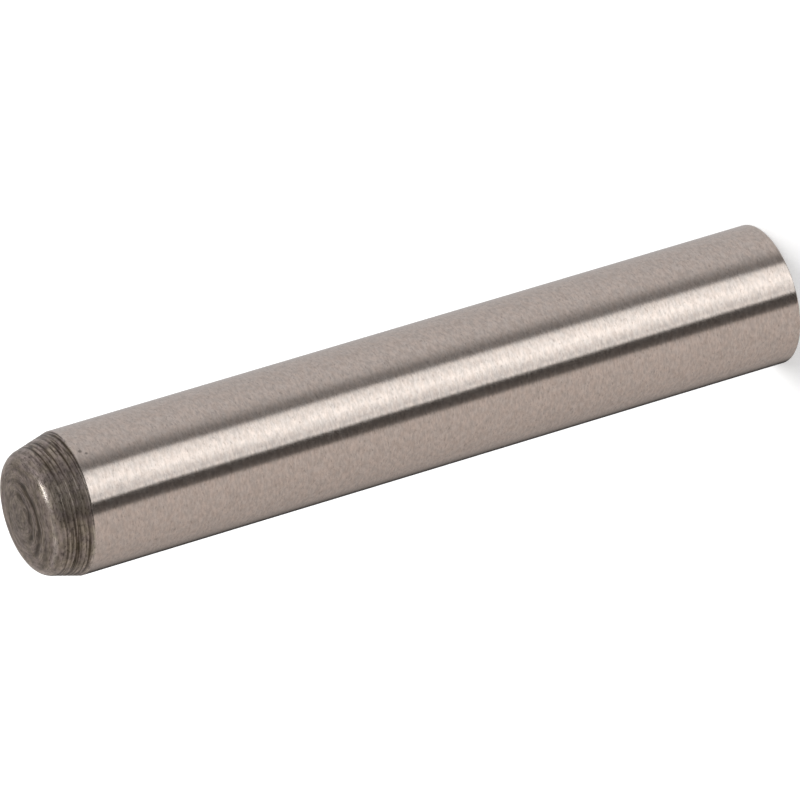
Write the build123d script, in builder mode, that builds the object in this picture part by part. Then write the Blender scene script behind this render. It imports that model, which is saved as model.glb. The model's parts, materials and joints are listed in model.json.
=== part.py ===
"""A hardened steel dowel pin, 6 mm in diameter and 35 mm long.

The pin is one turned and ground piece of bar. It stands on its flat end, with its axis along +Z and
the origin at the centre of that end. The other end has a slow lead-in cone, a rounded corner and a
slightly crowned face. Sizes are in millimetres.
"""

import os
from math import radians, tan

from build123d import *

# Driving dimensions

nominal_diameter = 6.0      # the hole that the pin is made for
press_oversize = 0.008      # middle of the m6 tolerance, which grips in a reamed hole
pin_length = 35.0           # from the flat end to the crest of the crowned face
lead_in_length = 1.95       # from the end of the ground wall to the crest of the crowned face
lead_in_angle = 15.0        # between the cone and the axis, in degrees
lead_in_corner = 0.7        # radius that rounds the cone into the crowned face
crown_height = 0.15         # how far the crest stands above the sharp corner of cone and face
flat_end_break = 0.05       # radius that takes the sharp edge off the flat end

# Sizes that follow from them

pin_radius = (nominal_diameter + press_oversize) / 2
wall_top = pin_length - lead_in_length
cone_top = pin_length - crown_height
cone_top_radius = pin_radius - (cone_top - wall_top) * tan(radians(lead_in_angle))

os.makedirs("parts", exist_ok=True)

# The pin, turned about its axis from half of its lengthwise section

with BuildPart() as dowel_pin:
    with BuildSketch(Plane.XZ) as half_section:
        with BuildLine():
            Polyline(
                (0, pin_length),
                (0, 0),
                (pin_radius, 0),
                (pin_radius, wall_top),
                (cone_top_radius, cone_top),
            )
            # The crown is level at the axis, so the arc is part of one sphere
            TangentArc((0, pin_length), (cone_top_radius, cone_top), tangent=(1, 0))
        make_face()
        cone_corner = half_section.vertices().group_by(Axis.Y)[-2]
        fillet(cone_corner, radius=lead_in_corner)
    revolve(axis=Axis.Z)
    fillet(dowel_pin.edges().group_by(Axis.Z)[0], radius=flat_end_break)

dowel_pin.part.label = "dowel_pin"
export_step(dowel_pin.part, "parts/dowel_pin.step")
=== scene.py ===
import json
from math import acos, atan2, ceil, cos, exp, pi, radians, sin, tau

import bmesh
import bpy
from bpy.props import FloatProperty, FloatVectorProperty, IntProperty, PointerProperty
from bpy.types import Operator, Panel, PropertyGroup
from mathutils import Matrix, Vector, noise


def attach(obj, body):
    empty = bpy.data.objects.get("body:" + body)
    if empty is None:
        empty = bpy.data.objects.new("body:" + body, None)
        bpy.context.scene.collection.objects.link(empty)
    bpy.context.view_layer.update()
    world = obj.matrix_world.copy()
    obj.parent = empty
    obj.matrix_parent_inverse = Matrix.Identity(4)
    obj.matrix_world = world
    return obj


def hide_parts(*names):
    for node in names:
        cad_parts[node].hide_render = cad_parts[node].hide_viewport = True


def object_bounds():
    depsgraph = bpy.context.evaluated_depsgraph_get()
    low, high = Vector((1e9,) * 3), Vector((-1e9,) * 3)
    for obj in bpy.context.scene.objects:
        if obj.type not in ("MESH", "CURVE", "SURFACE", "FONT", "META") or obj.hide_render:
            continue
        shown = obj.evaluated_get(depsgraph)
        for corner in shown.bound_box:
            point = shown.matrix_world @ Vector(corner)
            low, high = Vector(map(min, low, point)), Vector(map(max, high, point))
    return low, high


bl_info = {
    "name": "Dowel Pin",
    "version": (1, 0, 0),
    "blender": (4, 5, 0),
    "location": "View3D > Sidebar > Dowel Pin",
    "description": "A ground steel dowel pin with rough-turned ends, standing in a plain photo studio",
    "category": "Add Mesh",
}

MM = 0.001

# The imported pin: its overall box, and the ground wall that its press fit is made on

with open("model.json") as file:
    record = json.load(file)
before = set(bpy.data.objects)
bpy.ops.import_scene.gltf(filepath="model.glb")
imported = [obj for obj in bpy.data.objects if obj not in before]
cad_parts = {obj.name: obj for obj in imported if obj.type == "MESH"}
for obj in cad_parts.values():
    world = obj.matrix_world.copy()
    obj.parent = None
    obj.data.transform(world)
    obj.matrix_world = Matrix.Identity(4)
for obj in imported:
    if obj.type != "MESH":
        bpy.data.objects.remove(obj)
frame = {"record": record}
cad_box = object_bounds()
PIN_LENGTH = cad_box[1].z - cad_box[0].z
WALL = next(m for m in frame["record"]["mounts"] if m["name"] == "press_wall")
PIN_RADIUS = WALL["dims"]["r_mm"] * MM
WALL_TOP = WALL["pos_m"][2] + WALL["dims"]["length_mm"] * MM / 2
WALL_BOTTOM = WALL["pos_m"][2] - WALL["dims"]["length_mm"] * MM / 2


# Sizes and colours that a user would change

class PinSizes(PropertyGroup):
    lead_in_angle: FloatProperty(
        name="Lead-in angle", description="Between the cone and the pin's axis",
        default=radians(15), unit="ROTATION")
    lead_in_corner: FloatProperty(
        name="Lead-in corner", description="Radius that rounds the cone into the crowned face",
        default=0.7 * MM, unit="LENGTH")
    crown_height: FloatProperty(
        name="Crown height", description="How far the crest stands above the sharp corner of the cone",
        default=0.15 * MM, unit="LENGTH")
    run_out: FloatVectorProperty(
        name="Run-out", description="How far the turned end lies off the axis of the ground wall",
        default=(-0.042 * MM, -0.028 * MM), size=2, unit="LENGTH")
    ring_centre: FloatVectorProperty(
        name="Ring centre",
        description="Where the face's rings are centred, from the axis of the turned end",
        default=(0, 0.35 * MM), size=2, unit="LENGTH")
    feed: FloatProperty(
        name="Feed", description="Distance along the cone from one turn of its groove to the next",
        default=0.185 * MM, unit="LENGTH")
    ring_feed: FloatProperty(
        name="Ring feed", description="Distance from one ring of the face to the next",
        default=0.6 * MM, unit="LENGTH")
    groove_depth: FloatProperty(
        name="Groove depth", description="Depth of the deepest turning grooves",
        default=0.018 * MM, unit="LENGTH")
    groove_width: FloatProperty(
        name="Groove width", description="Half width of the cone's groove",
        default=0.055 * MM, unit="LENGTH")
    turns: IntProperty(
        name="Segments", description="Facets round the pin", default=240, min=24)


class SteelColours(PropertyGroup):
    ground: FloatVectorProperty(
        name="Ground steel", description="Colour of the ground wall",
        default=(0.45, 0.40, 0.365), size=3, subtype="COLOR", min=0, max=1)
    turned: FloatVectorProperty(
        name="Turned steel", description="Colour of the ridges on the rough-turned ends",
        default=(0.285, 0.250, 0.224), size=3, subtype="COLOR", min=0, max=1)
    # Painted shade: the colour that the grooves are painted towards by their depth
    groove: FloatVectorProperty(
        name="Grooves", description="Colour of the bottoms of the turning grooves",
        default=(0.078, 0.064, 0.049), size=3, subtype="COLOR", min=0, max=1)
    # Painted highlight: the lighter colour of the rubbed corner and of the line along the cone's edge
    rubbed_highlight: FloatVectorProperty(
        name="Rubbed steel", description="Colour of the corner where it is rubbed bright",
        default=(0.56, 0.52, 0.49), size=3, subtype="COLOR", min=0, max=1)
    ground_roughness: FloatProperty(
        name="Ground roughness", description="Roughness of the ground wall",
        default=0.19, subtype="FACTOR", min=0, max=1)
    turned_roughness: FloatProperty(
        name="Turned roughness", description="Roughness of the rough-turned ends",
        default=0.31, subtype="FACTOR", min=0, max=1)


class StudioSettings(PropertyGroup):
    lens: FloatProperty(
        name="Lens", description="Focal length, in millimetres on a 36 mm sensor", default=454.24)
    distance: FloatProperty(
        name="Distance", description="From the camera to the point that it looks at",
        default=415.08 * MM, unit="LENGTH")
    aim: FloatVectorProperty(
        name="Aim", description="The point that the camera looks at",
        default=(0.111 * MM, 0, 17.419 * MM), size=3, unit="LENGTH")
    elevation: FloatProperty(
        name="Elevation", description="Height of the camera above the horizon",
        default=radians(24.67), unit="ROTATION")
    roll: FloatProperty(
        name="Roll", description="Turn of the camera about its line of sight",
        default=radians(-106.67), unit="ROTATION")
    lamp_power: FloatProperty(
        name="Lamp power", description="Power of the overhead soft lamp, in watts", default=0.9)
    fill: FloatProperty(
        name="Fill", description="Level of the plain light from all round", default=0.6)


# Small helpers for node trees

def add_node(tree, kind, **settings):
    """Adds a node of a kind, sets its properties, and returns it."""
    node = tree.nodes.new(kind)
    for name, value in settings.items():
        setattr(node, name, value)
    return node


def math_node(tree, operation, first, second=None, clamp=False):
    """Adds a Math node with links or numbers as its inputs, and returns its output."""
    node = add_node(tree, "ShaderNodeMath", operation=operation, use_clamp=clamp)
    for socket, value in zip(node.inputs, (first, second)):
        if isinstance(value, bpy.types.NodeSocket):
            tree.links.new(value, socket)
        elif value is not None:
            socket.default_value = value
    return node.outputs[0]


def product(tree, first, *others):
    """Multiplies any number of values together, and returns the output."""
    for other in others:
        first = math_node(tree, "MULTIPLY", first, other)
    return first


def map_range(tree, value, low, high, to_low=0.0, to_high=1.0, smooth=True):
    """Adds a Map Range node from low..high to to_low..to_high, and returns its output."""
    node = add_node(tree, "ShaderNodeMapRange",
                    interpolation_type="SMOOTHSTEP" if smooth else "LINEAR")
    tree.links.new(value, node.inputs["Value"])
    for name, number in (("From Min", low), ("From Max", high),
                         ("To Min", to_low), ("To Max", to_high)):
        node.inputs[name].default_value = number
    return node.outputs["Result"]


def mix_colour(tree, factor, first, second, blend="MIX"):
    """Adds a colour Mix node with links, colours or numbers as its inputs, and returns its output."""
    node = add_node(tree, "ShaderNodeMix", data_type="RGBA", blend_type=blend)
    for socket, value in ((node.inputs[0], factor), (node.inputs[6], first), (node.inputs[7], second)):
        if isinstance(value, bpy.types.NodeSocket):
            tree.links.new(value, socket)
        elif isinstance(value, (int, float)):
            socket.default_value = value
        else:
            socket.default_value = (*value, 1)
    return node.outputs[2]


# The pin's section, from the centre of the flat end to the crest of the crowned face

class Section:
    """Half of the pin's lengthwise section, measured along its surface.

    The distance along it is 0 where the cone leaves the ground wall and grows towards the crest.
    """

    def __init__(self, sizes):
        self.angle = sizes.lead_in_angle
        self.corner = sizes.lead_in_corner
        crown = sizes.crown_height
        cone_top = PIN_LENGTH - crown
        cone_top_radius = PIN_RADIUS - (cone_top - WALL_TOP) * sin(self.angle) / cos(self.angle)
        self.sphere = (cone_top_radius**2 + crown**2) / (2 * crown)
        self.sphere_height = PIN_LENGTH - self.sphere
        # The corner's centre is one corner radius inside both the cone and the crown's sphere
        inner = self.sphere - self.corner
        side = (PIN_RADIUS * cos(self.angle) + (WALL_TOP - self.sphere_height) * sin(self.angle)
                - self.corner)
        self.face_angle = self.angle + acos(side / inner)
        self.corner_centre = (inner * cos(self.face_angle),
                              self.sphere_height + inner * sin(self.face_angle))
        cone_end_height = self.corner_centre[1] + self.corner * sin(self.angle)
        self.cone_length = (cone_end_height - WALL_TOP) / cos(self.angle)
        self.corner_length = self.corner * (self.face_angle - self.angle)
        self.face_length = self.sphere * (pi / 2 - self.face_angle)
        self.length = self.cone_length + self.corner_length + self.face_length

    def point(self, along):
        """Radius and height of the point at a distance along the turned end."""
        if along <= self.cone_length:
            return (PIN_RADIUS - along * sin(self.angle), WALL_TOP + along * cos(self.angle))
        along -= self.cone_length
        if along <= self.corner_length:
            lean = self.angle + along / self.corner
            return (self.corner_centre[0] + self.corner * cos(lean),
                    self.corner_centre[1] + self.corner * sin(lean))
        along -= self.corner_length
        lean = self.face_angle + along / self.sphere
        return (self.sphere * cos(lean), self.sphere_height + self.sphere * sin(lean))


def spread(start, end, step):
    """Evenly spaced values from start to just before end, no further apart than step."""
    count = max(1, ceil((end - start) / step))
    return [start + (end - start) * i / count for i in range(count)]


# How far apart the section's points are, at the most
CONE_STEP = 0.016 * MM
CORNER_STEP = 0.05 * MM
FACE_STEP = 0.022 * MM
FLAT_STEP = 0.075 * MM
WALL_STEP = 3 * MM

# The wall's first ring of points above its lower edge, and the rings on the broken edge below it
WALL_EDGE = 0.03 * MM
BREAK_STEPS = 5

# Points this close are one
MERGE_DISTANCE = 0.0001 * MM


def flat_end_points():
    """Radius and height of the section's points on the flat end and its broken edge."""
    edge_break = WALL_BOTTOM
    flat_radius = PIN_RADIUS - edge_break
    points = [(radius, 0.0) for radius in spread(0, flat_radius, FLAT_STEP)]
    for i in range(BREAK_STEPS):
        lean = pi / 2 * i / BREAK_STEPS
        points.append((flat_radius + edge_break * sin(lean), edge_break * (1 - cos(lean))))
    return points


def wall_heights():
    """Heights of the section's points on the wall, with one beside the broken edge to shade it flat."""
    return [WALL_BOTTOM] + spread(WALL_BOTTOM + WALL_EDGE, WALL_TOP, WALL_STEP)


def turned_end_distances(section):
    """Distances along the turned end at which the section has a point."""
    corner_start = section.cone_length
    face_start = corner_start + section.corner_length
    return (spread(0, corner_start, CONE_STEP)
            + spread(corner_start, face_start, CORNER_STEP)
            + spread(face_start, section.length, FACE_STEP)
            + [section.length])


# The pin's material slots
GROUND, TURNED = 0, 1

# Turning grooves: a spiral along the cone and rings on the face, with finer lines among them

# The cone's groove is deep for about DEEP_REACH of a turn on both sides of the DEEP_TURNS, which are
# counted from the place where it starts. The depths are shares of the deepest.
GROOVE_START = 0.1 * MM
DEEP_TURNS = (-0.1, 1.75, 3.95, 4.6, 5.95, 6.6)
DEEP_REACH = 0.3
WEAK_DEPTH = 0.22
LEAST_DEPTH = 0.05
GROOVE_SEED = 4.2
FADE_IN = 0.04 * MM

# Each part of the unevenness: its share, its changes a turn, and its seed
UNEVEN_PARTS = ((0.5, 3.1, 0.7), (0.4, 11.3, 8.3))

# The face's rings are broken round them by a noise, and wander in and out by another
FIRST_RING = 0.43 * MM
RING_DEPTH = 0.85
RING_LEAST_DEPTH = 0.15
RING_UNEVENNESS = 1.4
RING_CHANGE = 1.7
RING_SEED = 3.7
RING_SHARPNESS = 1.5
RING_WANDER = 0.12 * MM
WANDER_SIZE = 0.45 * MM
FACE_CENTRE = 0.95 * MM

# The finer lines are at their full depth where their noise reaches FINE_FULL
FINE_PITCH = 0.075 * MM
FINE_REACH = 2.4
FINE_FULL = 0.45
FINE_SHARE = 0.8
FACE_FINE_SHARE = 0.6

# Where the turned end is worn smoother, and where it is painted lighter as a painted highlight

# A line runs round the rounded corner, at the share of the way over it given below. Its colour is painted
# lighter there, a painted highlight, which is stronger and rubbed smoother at two spots: azimuth, reach
# and share.
POLISH_HIGHLIGHT_PLACE = 0.53
POLISH_HIGHLIGHT_REACH = 0.1 * MM
RUBBED_HIGHLIGHT_SPOTS = ((radians(-133), radians(28), 1.0), (radians(-75), radians(14), 0.75))
RUBBED_HIGHLIGHT_ALL_ROUND = 0.18

# Another line runs along the cone's edge with the ground wall: it is smoother, and painted lighter as a
# painted highlight
EDGE_HIGHLIGHT_FROM, EDGE_HIGHLIGHT_TO = 0.03 * MM, 0.12 * MM
EDGE_POLISH_AND_HIGHLIGHT = 0.6

# The whole corner is smoother, and its colour is painted a little lighter as a painted highlight
CALM_MIDDLE = 0.6
CALM_REACH = 0.62 * MM
CORNER_CALM = 0.6
CALM_HIGHLIGHT = 0.08

# One side of the cone and one side of the face are smoother too
WORN_MIDDLE = radians(-84)
WORN_REACH = radians(24)
WORN_CALM = 0.6
FACE_WORN_FROM, FACE_WORN_TO = -0.6 * MM, 0.5 * MM
FACE_CALM = 0.5

# A stain blots out the lines near the centre of the face's rings
STAIN_OFFSET = Vector((0, 0.3 * MM))
STAIN_REACH = 0.85 * MM


def ease(low, high, value):
    """Rises smoothly from 0 at low to 1 at high, or falls if low is the greater."""
    share = min(1, max(0, (value - low) / (high - low)))
    return share * share * (3 - 2 * share)


def bump(distance, reach):
    """Falls off from 1 at a distance of 0, on both sides."""
    return exp(-(distance / reach)**2)


def uneven(place, seed):
    """Smooth random values about 0: slow changes along a line, with quicker ones on them."""
    return sum(share * noise.noise(Vector((place * changes, seed, own_seed)))
               for share, changes, own_seed in UNEVEN_PARTS)


def spiral_groove(sizes, along, angle):
    """Depth of the cone's groove at a place, from 0 to 1. It is deep near a few of its turns."""
    place = (along - GROOVE_START) / sizes.feed - angle / tau
    turn = round(place)
    way = turn + angle / tau
    deep = max(bump(way - middle, DEEP_REACH) for middle in DEEP_TURNS)
    strength = WEAK_DEPTH + uneven(way, GROOVE_SEED) + (1 - WEAK_DEPTH) * deep
    return min(1, max(LEAST_DEPTH, strength)) * bump((place - turn) * sizes.feed, sizes.groove_width)


def face_ring(sizes, reach, angle):
    """Depth of the face's rings at a distance from their centre, from 0 to 1."""
    place = (reach - FIRST_RING) / sizes.ring_feed
    ring = round(place)
    change = noise.noise(Vector((ring * RING_SEED, RING_CHANGE * cos(angle), RING_CHANGE * sin(angle))))
    strength = min(1, max(RING_LEAST_DEPTH, RING_DEPTH + RING_UNEVENNESS * change))
    return strength * (0.5 + 0.5 * cos(tau * place))**RING_SHARPNESS


def fine_lines(along, angle):
    """Depth of the finer lines at a place, from 0 to 1. They come and go round the pin."""
    across = along / FINE_PITCH
    place = Vector((across, FINE_REACH * cos(angle), FINE_REACH * sin(angle)))
    return ease(0, FINE_FULL, noise.noise(place))


def polish_and_highlight_at(section, along, angle):
    """How far the middle of the rounded corner is painted lighter as a painted highlight and rubbed
    smoother, from 0 to 1.
    """
    rubbed_highlight = max(share * bump(angle - middle, reach) for middle, reach, share in RUBBED_HIGHLIGHT_SPOTS)
    middle = section.cone_length + section.corner_length * POLISH_HIGHLIGHT_PLACE
    return (RUBBED_HIGHLIGHT_ALL_ROUND + (1 - RUBBED_HIGHLIGHT_ALL_ROUND) * rubbed_highlight) * bump(along - middle, POLISH_HIGHLIGHT_REACH)


def calm_at(section, along):
    """How far the whole rounded corner is smoother than the cone and the face, from 0 to 1. It also sets a
    little painted highlight.
    """
    middle = section.cone_length + section.corner_length * CALM_MIDDLE
    return exp(-((along - middle) / CALM_REACH)**4)


def cone_grooves(sizes, along, angle):
    """Depth of the grooves at a place on the cone, from 0 for a ridge to 1."""
    calm = WORN_CALM * bump(angle - WORN_MIDDLE, WORN_REACH)
    return (1 - calm) * max(spiral_groove(sizes, along, angle), FINE_SHARE * fine_lines(along, angle))


def face_grooves(sizes, spot):
    """Depth of the grooves at a spot on the face, from 0 to 1. They have a centre of their own."""
    calm = FACE_CALM * ease(FACE_WORN_FROM, FACE_WORN_TO, spot.y)
    spot = spot - Vector(sizes.ring_centre)
    reach = spot.length + RING_WANDER * noise.noise(spot.to_3d() / WANDER_SIZE)
    angle = atan2(spot.y, spot.x)
    depth = max(face_ring(sizes, reach, angle), FACE_FINE_SHARE * fine_lines(reach, angle))
    return (1 - calm) * ease(0, FACE_CENTRE, reach) * depth


def stain_at(section, sizes, along, spot):
    """How far a place on the turned end is stained, from 0 to 1."""
    if along < section.length - section.face_length:
        return 0.0
    return bump((spot - Vector(sizes.ring_centre) - STAIN_OFFSET).length, STAIN_REACH)


def cut_turned_end(mesh, section, sizes):
    """Moves the turned end off centre and sinks the turning grooves into it."""
    along_layer = mesh.verts.layers.float["along"]
    groove_layer = mesh.verts.layers.float.new("groove")
    polish_highlight_layer = mesh.verts.layers.float.new("polish")
    stain_layer = mesh.verts.layers.float.new("stain")
    off_centre = Vector((*sizes.run_out, 0))
    mesh.normal_update()
    moves = []
    for vert in mesh.verts:
        along = vert[along_layer]
        if along < 0:
            continue
        angle = atan2(vert.co.y, vert.co.x)
        outward = Vector((cos(angle), sin(angle), 0))
        # The cone meets the wall further along on the side that it is moved towards
        meets = off_centre.dot(outward) / sin(section.angle)
        slide = meets * max(0, 1 - along / section.cone_length)
        cone_way = Vector((0, 0, cos(section.angle))) - outward * sin(section.angle)
        here = along + slide
        # The line of painted highlight round the corner parts the cone's grooves from the face's
        if here < section.cone_length + section.corner_length * POLISH_HIGHLIGHT_PLACE:
            groove = cone_grooves(sizes, here, angle)
        else:
            groove = face_grooves(sizes, vert.co.xy)
        calm = calm_at(section, here)
        polish = polish_and_highlight_at(section, here, angle)
        # The line along the edge with the wall: a painted highlight, and smoother
        edge = EDGE_POLISH_AND_HIGHLIGHT * ease(EDGE_HIGHLIGHT_TO, EDGE_HIGHLIGHT_FROM, along)
        groove *= min(1, along / FADE_IN) * (1 - CORNER_CALM * calm) * (1 - polish)
        moves.append((vert, cone_way * slide + off_centre - vert.normal * sizes.groove_depth * groove))
        vert[groove_layer] = groove
        # How far each place is painted lighter as a painted highlight, and smoother where it is strong
        vert[polish_highlight_layer] = max(polish, CALM_HIGHLIGHT * calm, edge)
        vert[stain_layer] = stain_at(section, sizes, along, vert.co.xy)
    for vert, move in moves:
        vert.co += move


def pin_mesh(sizes):
    """The whole pin as one closed mesh, spun from its section."""
    section = Section(sizes)
    mesh = bmesh.new()
    along_layer = mesh.verts.layers.float.new("along")
    outline = [(point, -1.0) for point in flat_end_points()]
    outline += [((PIN_RADIUS, height), -1.0) for height in wall_heights()]
    outline += [(section.point(along), along) for along in turned_end_distances(section)]
    previous = None
    for (radius, height), along in outline:
        vert = mesh.verts.new((radius, 0, height))
        vert[along_layer] = along
        if previous:
            mesh.edges.new((previous, vert))
        previous = vert
    bmesh.ops.spin(mesh, geom=mesh.verts[:] + mesh.edges[:], cent=(0, 0, 0), axis=(0, 0, 1),
                   dvec=(0, 0, 0), angle=tau, steps=sizes.turns, use_merge=True)
    bmesh.ops.remove_doubles(mesh, verts=mesh.verts[:], dist=MERGE_DISTANCE)
    bmesh.ops.recalc_face_normals(mesh, faces=mesh.faces[:])
    for face in mesh.faces:
        face.smooth = True
        turned = min(vert[along_layer] for vert in face.verts) >= 0
        # The flat end has the turned finish too, out to its broken edge
        flat = max(vert.co.z for vert in face.verts) < WALL_BOTTOM / 10
        face.material_index = TURNED if turned or flat else GROUND
    for edge in mesh.edges:
        if all(vert[along_layer] == 0 for vert in edge.verts):
            edge.smooth = False
    cut_turned_end(mesh, section, sizes)
    return mesh


# Finishes

# The grain group's inputs: changes in a metre across and round the pin, detail, and the noise values
# that become 0 and 1
GRAIN_INPUTS = {"Across": 10000.0, "Around": 3000.0, "Detail": 2.0, "Low": 0.4, "High": 0.6}


def lathe_grain_group():
    """Node group: a grain that runs round the pin's axis, on the wall, the cone and the faces alike."""
    tree = bpy.data.node_groups.new("Lathe Grain", "ShaderNodeTree")
    panel = tree.interface
    for name, default in GRAIN_INPUTS.items():
        socket = panel.new_socket(name, in_out="INPUT", socket_type="NodeSocketFloat")
        socket.default_value = default
    panel.new_socket("Grain", in_out="OUTPUT", socket_type="NodeSocketFloat")
    start = add_node(tree, "NodeGroupInput")
    end = add_node(tree, "NodeGroupOutput")
    place = add_node(tree, "ShaderNodeTexCoord")
    split = add_node(tree, "ShaderNodeSeparateXYZ")
    tree.links.new(place.outputs["Object"], split.inputs[0])
    x, y, z = split.outputs
    square = math_node(tree, "ADD", product(tree, x, x), product(tree, y, y))
    radius = math_node(tree, "SQRT", square)
    # Height less radius grows steadily along the section, on the wall, the cone and the face
    along = math_node(tree, "SUBTRACT", z, radius)
    joined = add_node(tree, "ShaderNodeCombineXYZ")
    for socket, value, scale in ((0, x, "Around"), (1, y, "Around"), (2, along, "Across")):
        tree.links.new(product(tree, value, start.outputs[scale]), joined.inputs[socket])
    grain = add_node(tree, "ShaderNodeTexNoise", noise_dimensions="3D")
    grain.inputs["Scale"].default_value = 1.0
    tree.links.new(joined.outputs[0], grain.inputs["Vector"])
    tree.links.new(start.outputs["Detail"], grain.inputs["Detail"])
    fit = add_node(tree, "ShaderNodeMapRange", interpolation_type="SMOOTHSTEP")
    tree.links.new(grain.outputs["Fac"], fit.inputs["Value"])
    tree.links.new(start.outputs["Low"], fit.inputs["From Min"])
    tree.links.new(start.outputs["High"], fit.inputs["From Max"])
    tree.links.new(fit.outputs["Result"], end.inputs["Grain"])
    return tree


def grain_node(tree, group, *values):
    """Places the grain group with values for its inputs in their order, and returns its output."""
    node = add_node(tree, "ShaderNodeGroup", node_tree=group)
    for name, value in zip(GRAIN_INPUTS, values):
        node.inputs[name].default_value = value
    return node.outputs["Grain"]


def steel_material(name, roughness, anisotropy):
    """A metal material with its Principled shader, which the finishes below fill in."""
    material = bpy.data.materials.new(name)
    material.use_nodes = True
    shader = material.node_tree.nodes["Principled BSDF"]
    shader.inputs["Metallic"].default_value = 1.0
    shader.inputs["Roughness"].default_value = roughness
    shader.inputs["Anisotropic"].default_value = anisotropy
    # A quarter turn, because the grain runs round the pin and spreads light along it
    shader.inputs["Anisotropic Rotation"].default_value = 0.25
    return material, material.node_tree, shader


def bump_node(tree, height, distance, shader):
    """Raises a surface by a height that changes over it."""
    node = add_node(tree, "ShaderNodeBump")
    node.inputs["Distance"].default_value = distance
    tree.links.new(height, node.inputs["Height"])
    tree.links.new(node.outputs["Normal"], shader.inputs["Normal"])


# Two small dark pits in the wall: azimuth in degrees, height and radius
PITS = ((-52.5, 32.76 * MM, 0.085 * MM), (-56.0, 32.56 * MM, 0.068 * MM))
PIT_DARK, PIT_CLEAR = 0.3, 1.4


def pit_mask(tree):
    """A mask of the small dark pits in the wall: 0 in a pit, 1 elsewhere."""
    place = add_node(tree, "ShaderNodeTexCoord")
    mask = None
    for azimuth, height, radius in PITS:
        angle = radians(azimuth)
        gap = add_node(tree, "ShaderNodeVectorMath", operation="DISTANCE")
        tree.links.new(place.outputs["Object"], gap.inputs[0])
        gap.inputs[1].default_value = (PIN_RADIUS * cos(angle), PIN_RADIUS * sin(angle), height)
        clear = map_range(tree, gap.outputs["Value"], radius * PIT_DARK, radius * PIT_CLEAR)
        mask = product(tree, mask, clear) if mask else clear
    return mask


# Ground wall: its grains, the levels that they give the colour, and the tints of its mottle
WALL_MOTTLE = (4200, 3000, 2, 0.3, 0.7)
WALL_STREAKS = (9000, 4200, 3, 0.25, 0.75)
WALL_FLECKS = (15000, 6000, 1, 0.58, 0.76)
WALL_LINES = (16000, 2000, 3, 0.25, 0.75)
STREAK_LEVELS = (0.87, 1.13)
FLECK_LEVELS = (1.0, 0.78)
PIT_LEVELS = (0.45, 1.0)
STRAW = (1.012, 0.995, 0.985)
SLATE = (0.988, 1.005, 1.018)
SMOOTHER, ROUGHER = 0.93, 1.08
WALL_ANISOTROPY = 0.75
WALL_BUMP = 0.001 * MM


def ground_steel(colours, group):
    """Ground wall: streaks and flecks that run round it, over a faint straw and slate mottle."""
    rough = colours.ground_roughness
    material, tree, shader = steel_material("ground_steel", rough, WALL_ANISOTROPY)
    mottle = grain_node(tree, group, *WALL_MOTTLE)
    streaks = map_range(tree, grain_node(tree, group, *WALL_STREAKS), 0, 1, *STREAK_LEVELS, smooth=False)
    flecks = map_range(tree, grain_node(tree, group, *WALL_FLECKS), 0, 1, *FLECK_LEVELS)
    pits = map_range(tree, pit_mask(tree), 0, 1, *PIT_LEVELS)
    level = product(tree, streaks, flecks, pits)
    steel = mix_colour(tree, 1.0, colours.ground, mix_colour(tree, mottle, STRAW, SLATE), "MULTIPLY")
    tree.links.new(mix_colour(tree, 1.0, steel, level, "MULTIPLY"), shader.inputs["Base Color"])
    tree.links.new(map_range(tree, mottle, 0, 1, rough * SMOOTHER, rough * ROUGHER),
                   shader.inputs["Roughness"])
    bump_node(tree, grain_node(tree, group, *WALL_LINES), WALL_BUMP, shader)
    return material


def attribute(tree, name):
    """The value of one of the pin's own attributes."""
    node = add_node(tree, "ShaderNodeAttribute", attribute_name=name)
    return node.outputs["Fac"]


# Turned ends: their grains, the levels that they give the colour, and the tints of their mottle
END_LINES = (18000, 1500, 3, 0.3, 0.7)
END_PATCHES = (4200, 3200, 3, 0.3, 0.7)
END_SCALE = (9000, 7000, 2, 0.5, 0.72)
END_MOTTLE = (2400, 2000, 2, 0.35, 0.65)
STAIN_BLOTS = (6500, 5500, 3, 0.35, 0.65)
LINE_LEVELS = (0.82, 1.18)
PATCH_LEVELS = (0.76, 1.22)
SCALE_LEVELS = (1.1, 0.66)
BLOT_LEVELS = (1.0, 0.5)
OLIVE = (1.01, 1.01, 0.94)
PLUM = (0.995, 0.975, 1.0)
MID_GREY = (0.5, 0.5, 0.5)
END_ANISOTROPY = 0.4
END_BUMP = 0.0025 * MM

# The groove depths at which the grooves' painted shade starts and is full, and the polish at which the
# roughness starts to fall, to the share that is left where it is full
GROOVE_SHADE_FROM, GROOVE_SHADE_TO = 0.08, 0.8
POLISH_FROM, POLISHED_ROUGHNESS = 0.2, 0.45


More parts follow.
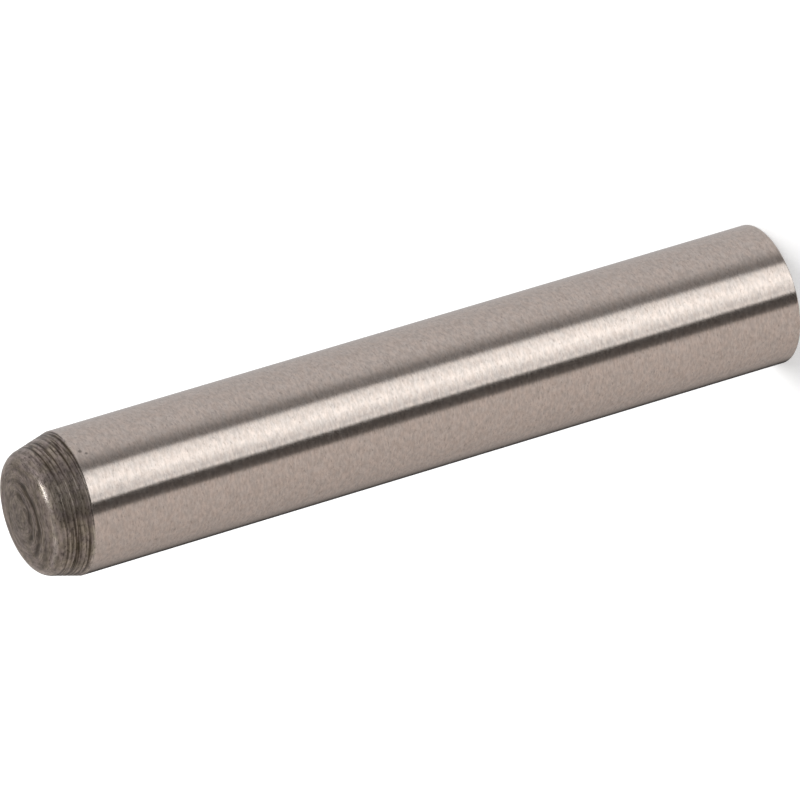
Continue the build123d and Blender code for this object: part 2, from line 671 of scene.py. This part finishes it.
def turned_steel(colours, group):
    """Rough-turned ends: dull ridges, grooves darkened by painted shade, patches of scale and a rubbed
    corner painted lighter as a painted highlight.
    """
    rough = colours.turned_roughness
    material, tree, shader = steel_material("turned_steel", rough, END_ANISOTROPY)
    polish = attribute(tree, "polish")
    stain = attribute(tree, "stain")
    lines = mix_colour(tree, stain, grain_node(tree, group, *END_LINES), MID_GREY)
    patches = grain_node(tree, group, *END_PATCHES)
    scale = grain_node(tree, group, *END_SCALE)
    mottle = grain_node(tree, group, *END_MOTTLE)
    blots = product(tree, stain, grain_node(tree, group, *STAIN_BLOTS))
    level = product(tree,
                    map_range(tree, lines, 0, 1, *LINE_LEVELS),
                    map_range(tree, patches, 0, 1, *PATCH_LEVELS),
                    map_range(tree, scale, 0, 1, *SCALE_LEVELS),
                    map_range(tree, blots, 0, 1, *BLOT_LEVELS, smooth=False))
    groove_shade = map_range(tree, attribute(tree, "groove"), GROOVE_SHADE_FROM, GROOVE_SHADE_TO, smooth=False)
    # Painted highlight: the rubbed corner, the calm corner and the edge line are painted towards a lighter
    # colour
    steel = mix_colour(tree, polish, colours.turned, colours.rubbed_highlight)
    # Painted shade: the grooves are painted darker by their depth
    steel = mix_colour(tree, groove_shade, steel, colours.groove)
    steel = mix_colour(tree, 1.0, steel, mix_colour(tree, mottle, OLIVE, PLUM), "MULTIPLY")
    tree.links.new(mix_colour(tree, 1.0, steel, level, "MULTIPLY"), shader.inputs["Base Color"])
    tree.links.new(map_range(tree, polish, POLISH_FROM, 1, rough, rough * POLISHED_ROUGHNESS),
                   shader.inputs["Roughness"])
    bump_node(tree, lines, END_BUMP, shader)
    return material


class DOWEL_OT_pin(Operator):
    """Builds the pin with its turning grooves and its two finishes"""

    bl_idname = "dowel.pin"
    bl_label = "Pin"

    def execute(self, context):
        scene = context.scene
        built = pin_mesh(scene.pin_sizes)
        data = bpy.data.meshes.new("ground_pin")
        built.to_mesh(data)
        built.free()
        group = lathe_grain_group()
        data.materials.append(ground_steel(scene.steel_colours, group))
        data.materials.append(turned_steel(scene.steel_colours, group))
        pin = bpy.data.objects.new("ground_pin", data)
        scene.collection.objects.link(pin)
        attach(pin, "root")
        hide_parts("dowel_pin")
        return {"FINISHED"}


# The studio: a white floor, a soft lamp, and a surround that the metal mirrors

FLOOR_SIZE = 4.0
FLOOR_GREY = 0.8

# To the camera the floor glows too, and more where it runs out of the lamp's light
GLOW_NEAR, GLOW_FAR = 0.32, 0.56
GLOW_FROM, GLOW_TO = 50 * MM, 250 * MM

CLIP_START, CLIP_END = 0.01, 10.0
LAMP_SIZE = 160 * MM
LAMP_DISTANCE = 400 * MM
LAMP_AZIMUTH = 60.0
LAMP_ELEVATION = 62.0

# What the metal mirrors: azimuth in degrees, level and tint. Low down, a long softbox stands between
# two black flags. The room above them has its own light and dark sides.
NEUTRAL = (1.0, 1.0, 1.0)
PALE = (1.0, 0.96, 0.95)
WARM = (1.0, 0.915, 0.875)
SALLOW = (1.0, 0.935, 0.875)
ROSE = (1.0, 0.942, 0.945)
LOW_SURROUND = (
    (-180.0, 0.82, WARM),
    (-122.6, 0.96, WARM),
    (-119.0, 0.18, WARM),
    (-110.0, 0.13, WARM),
    (-101.3, 0.08, WARM),
    (-99.8, 1.95, NEUTRAL),
    (-94.0, 1.34, NEUTRAL),
    (-76.0, 2.30, NEUTRAL),
    (-54.0, 1.70, NEUTRAL),
    (-48.5, 0.34, PALE),
    (-39.0, 0.40, PALE),
    (-24.0, 0.86, PALE),
    (-7.0, 0.95, PALE),
    (45.0, 0.80, PALE),
    (66.0, 0.66, PALE),
    (86.0, 0.60, PALE),
    (91.0, 0.04, PALE),
    (110.0, 0.04, WARM),
    (123.0, 0.36, WARM),
    (138.0, 0.60, WARM),
    (165.0, 0.76, WARM),
    (180.0, 0.82, WARM),
)
MIDDLE_SURROUND = (
    (-180.0, 0.60, SALLOW),
    (-159.0, 0.64, SALLOW),
    (-119.5, 0.55, SALLOW),
    (-117.0, 0.14, WARM),
    (-96.0, 0.18, WARM),
    (-77.0, 0.25, ROSE),
    (-30.0, 0.35, ROSE),
    (0.0, 0.64, ROSE),
    (54.0, 0.60, ROSE),
    (85.0, 0.62, WARM),
    (130.0, 0.68, WARM),
    (180.0, 0.60, SALLOW),
)
HIGH_SURROUND = (
    (-180.0, 0.46, WARM),
    (-160.0, 0.62, WARM),
    (-137.0, 0.56, WARM),
    (-119.5, 0.38, WARM),
    (-117.0, 0.18, WARM),
    (-97.0, 0.31, ROSE),
    (-77.0, 0.38, ROSE),
    (-38.0, 0.46, ROSE),
    (5.0, 0.82, ROSE),
    (25.0, 0.74, ROSE),
    (50.0, 0.46, ROSE),
    (78.0, 0.50, WARM),
    (102.0, 0.50, WARM),
    (140.0, 0.42, WARM),
    (180.0, 0.46, WARM),
)
OVERHEAD = (0.56, 0.52, 0.49)

# The elevations, in degrees, between which each surround passes into the one above it
LOW_TO_MIDDLE = (-18.0, -9.0)
MIDDLE_TO_HIGH = (10.0, 20.0)
HIGH_TO_OVERHEAD = (45.0, 60.0)

# A long lamp overhead, across the room from side to side, measured where it meets a flat ceiling
# one unit up
TUBE_LEVEL = 5.3
TUBE_FROM, TUBE_TO, TUBE_SOFT = 0.20, 0.45, 0.12
TUBE_NEAR, TUBE_FAR, TUBE_EDGE = -0.19, -0.07, 0.06
LEAST_RISE = 0.01


def direction(azimuth, elevation):
    """Unit vector towards an azimuth from +X and an elevation, both in degrees."""
    a, e = radians(azimuth), radians(elevation)
    return Vector((cos(a) * cos(e), sin(a) * cos(e), sin(e)))


def floor_material():
    """A white floor that reads as white to the camera, apart from the shadow on it."""
    material = bpy.data.materials.new("studio_floor")
    material.use_nodes = True
    tree = material.node_tree
    tree.nodes.clear()
    paint = add_node(tree, "ShaderNodeBsdfDiffuse")
    paint.inputs["Color"].default_value = (FLOOR_GREY, FLOOR_GREY, FLOOR_GREY, 1)
    place = add_node(tree, "ShaderNodeTexCoord")
    away = add_node(tree, "ShaderNodeVectorMath", operation="LENGTH")
    tree.links.new(place.outputs["Object"], away.inputs[0])
    level = map_range(tree, away.outputs["Value"], GLOW_FROM, GLOW_TO, GLOW_NEAR, GLOW_FAR)
    path = add_node(tree, "ShaderNodeLightPath")
    glow = add_node(tree, "ShaderNodeEmission")
    tree.links.new(product(tree, path.outputs["Is Camera Ray"], level), glow.inputs["Strength"])
    both = add_node(tree, "ShaderNodeAddShader")
    tree.links.new(paint.outputs[0], both.inputs[0])
    tree.links.new(glow.outputs[0], both.inputs[1])
    end = add_node(tree, "ShaderNodeOutputMaterial")
    tree.links.new(both.outputs[0], end.inputs["Surface"])
    return material


def make_floor(scene):
    """Lays the floor under the pin."""
    mesh = bmesh.new()
    bmesh.ops.create_grid(mesh, x_segments=1, y_segments=1, size=FLOOR_SIZE / 2)
    data = bpy.data.meshes.new("studio_floor")
    mesh.to_mesh(data)
    mesh.free()
    data.materials.append(floor_material())
    floor = bpy.data.objects.new("studio_floor", data)
    # The metal mirrors the surround below the horizon instead of the floor
    floor.visible_glossy = False
    scene.collection.objects.link(floor)


def make_lamp(scene, settings):
    """Hangs the soft lamp above and behind the pin, so that the shadow falls towards the camera."""
    light = bpy.data.lights.new("soft_lamp", "AREA")
    light.shape = "DISK"
    light.size = LAMP_SIZE
    light.energy = settings.lamp_power
    lamp = bpy.data.objects.new("soft_lamp", light)
    way = direction(LAMP_AZIMUTH, LAMP_ELEVATION)
    lamp.location = way * LAMP_DISTANCE
    lamp.rotation_mode = "QUATERNION"
    lamp.rotation_quaternion = way.to_track_quat("Z", "Y")
    # The metal mirrors the surround instead of this lamp
    lamp.visible_glossy = False
    scene.collection.objects.link(lamp)


def window(tree, value, low, high, soft):
    """A mask that is 1 from low to high and falls off softly outside them."""
    rise = map_range(tree, value, low - soft, low)
    fall = map_range(tree, value, high, high + soft, 1.0, 0.0)
    return product(tree, rise, fall)


def surround_ramp(tree, azimuth, surround):
    """Colours one of the surrounds by azimuth."""
    ramp = add_node(tree, "ShaderNodeValToRGB")
    stops = ramp.color_ramp.elements
    while len(stops) > 1:
        stops.remove(stops[0])
    brightest = max(level for _, level, _ in surround)
    for i, (degrees_round, level, tint) in enumerate(surround):
        place = (degrees_round + 180) / 360
        stop = stops[0] if i == 0 else stops.new(place)
        stop.position = place
        stop.color = (*(part * level / brightest for part in tint), 1)
    tree.links.new(map_range(tree, azimuth, -pi, pi, smooth=False), ramp.inputs["Fac"])
    return mix_colour(tree, 1.0, ramp.outputs["Color"], (brightest,) * 3, "MULTIPLY")


def tube_mask(tree, x, y, z):
    """Where the overhead lamp is seen, by the direction's place on a ceiling one unit up."""
    rise = math_node(tree, "MAXIMUM", z, LEAST_RISE)
    across = math_node(tree, "DIVIDE", x, rise)
    along = math_node(tree, "DIVIDE", y, rise)
    return product(tree, window(tree, across, TUBE_FROM, TUBE_TO, TUBE_SOFT),
                   window(tree, along, TUBE_NEAR, TUBE_FAR, TUBE_EDGE))


def rise_between(tree, z, elevations):
    """A mask that rises from 0 to 1 between two elevations, from the height of a unit direction."""
    low, high = elevations
    return map_range(tree, z, sin(radians(low)), sin(radians(high)))


def make_surround(scene, settings):
    """Plain white to the camera, plain fill for the floor, and a studio for the metal to mirror."""
    world = bpy.data.worlds.new("studio")
    scene.world = world
    world.use_nodes = True
    tree = world.node_tree
    tree.nodes.clear()
    place = add_node(tree, "ShaderNodeTexCoord")
    split = add_node(tree, "ShaderNodeSeparateXYZ")
    tree.links.new(place.outputs["Generated"], split.inputs[0])
    x, y, z = split.outputs
    azimuth = math_node(tree, "ARCTAN2", y, x)
    low, middle, high = (surround_ramp(tree, azimuth, surround)
                         for surround in (LOW_SURROUND, MIDDLE_SURROUND, HIGH_SURROUND))
    mirrored = mix_colour(tree, rise_between(tree, z, LOW_TO_MIDDLE), low, middle)
    mirrored = mix_colour(tree, rise_between(tree, z, MIDDLE_TO_HIGH), mirrored, high)
    mirrored = mix_colour(tree, rise_between(tree, z, HIGH_TO_OVERHEAD), mirrored, OVERHEAD)
    lamp = mix_colour(tree, tube_mask(tree, x, y, z), (0, 0, 0), (TUBE_LEVEL,) * 3)
    mirrored = mix_colour(tree, 1.0, mirrored, lamp, "ADD")
    path = add_node(tree, "ShaderNodeLightPath")
    seen = mix_colour(tree, path.outputs["Is Glossy Ray"], (settings.fill,) * 3, mirrored)
    seen = mix_colour(tree, path.outputs["Is Camera Ray"], seen, (1, 1, 1))
    back = add_node(tree, "ShaderNodeBackground")
    tree.links.new(seen, back.inputs["Color"])
    end = add_node(tree, "ShaderNodeOutputWorld")
    tree.links.new(back.outputs[0], end.inputs["Surface"])


def make_camera(scene, settings):
    """Points the camera down at the standing pin and rolls it, so that the pin lies across the picture."""
    data = bpy.data.cameras.new("camera")
    data.sensor_width = 36
    data.lens = settings.lens
    data.clip_start = CLIP_START
    data.clip_end = CLIP_END
    camera = bpy.data.objects.new("camera", data)
    back = direction(-90, 0) * cos(settings.elevation) + Vector((0, 0, sin(settings.elevation)))
    upright = Matrix.Rotation(pi / 2 - settings.elevation, 4, "X")
    camera.matrix_world = (Matrix.Translation(Vector(settings.aim) + back * settings.distance)
                           @ upright @ Matrix.Rotation(settings.roll, 4, "Z"))
    scene.collection.objects.link(camera)
    scene.camera = camera


class DOWEL_OT_stage(Operator):
    """Sets up the camera, the floor, the lamp and the surround"""

    bl_idname = "dowel.stage"
    bl_label = "Stage"

    def execute(self, context):
        scene = context.scene
        settings = scene.studio_settings
        make_camera(scene, settings)
        make_floor(scene)
        make_lamp(scene, settings)
        make_surround(scene, settings)
        scene.view_settings.view_transform = "Standard"
        return {"FINISHED"}


class DOWEL_PT_panel(Panel):
    """Lists the pin's sizes and finishes, the studio's settings and the steps that build them"""

    bl_idname = "DOWEL_PT_panel"
    bl_label = "Dowel Pin"
    bl_space_type = "VIEW_3D"
    bl_region_type = "UI"
    bl_category = "Dowel Pin"

    def draw(self, context):
        layout = self.layout
        for group in (context.scene.pin_sizes, context.scene.steel_colours, context.scene.studio_settings):
            box = layout.box()
            for name in group.__annotations__:
                box.prop(group, name)
        layout.operator(DOWEL_OT_stage.bl_idname)
        layout.operator(DOWEL_OT_pin.bl_idname)


CLASSES = (PinSizes, SteelColours, StudioSettings, DOWEL_OT_stage, DOWEL_OT_pin, DOWEL_PT_panel)


def register():
    for item in CLASSES:
        bpy.utils.register_class(item)
    bpy.types.Scene.pin_sizes = PointerProperty(type=PinSizes)
    bpy.types.Scene.steel_colours = PointerProperty(type=SteelColours)
    bpy.types.Scene.studio_settings = PointerProperty(type=StudioSettings)


def unregister():
    del bpy.types.Scene.pin_sizes
    del bpy.types.Scene.steel_colours
    del bpy.types.Scene.studio_settings
    for item in reversed(CLASSES):
        bpy.utils.unregister_class(item)


def main():
    register()
    bpy.ops.dowel.stage()
    bpy.ops.dowel.pin()


if __name__ == "__main__":
    main()
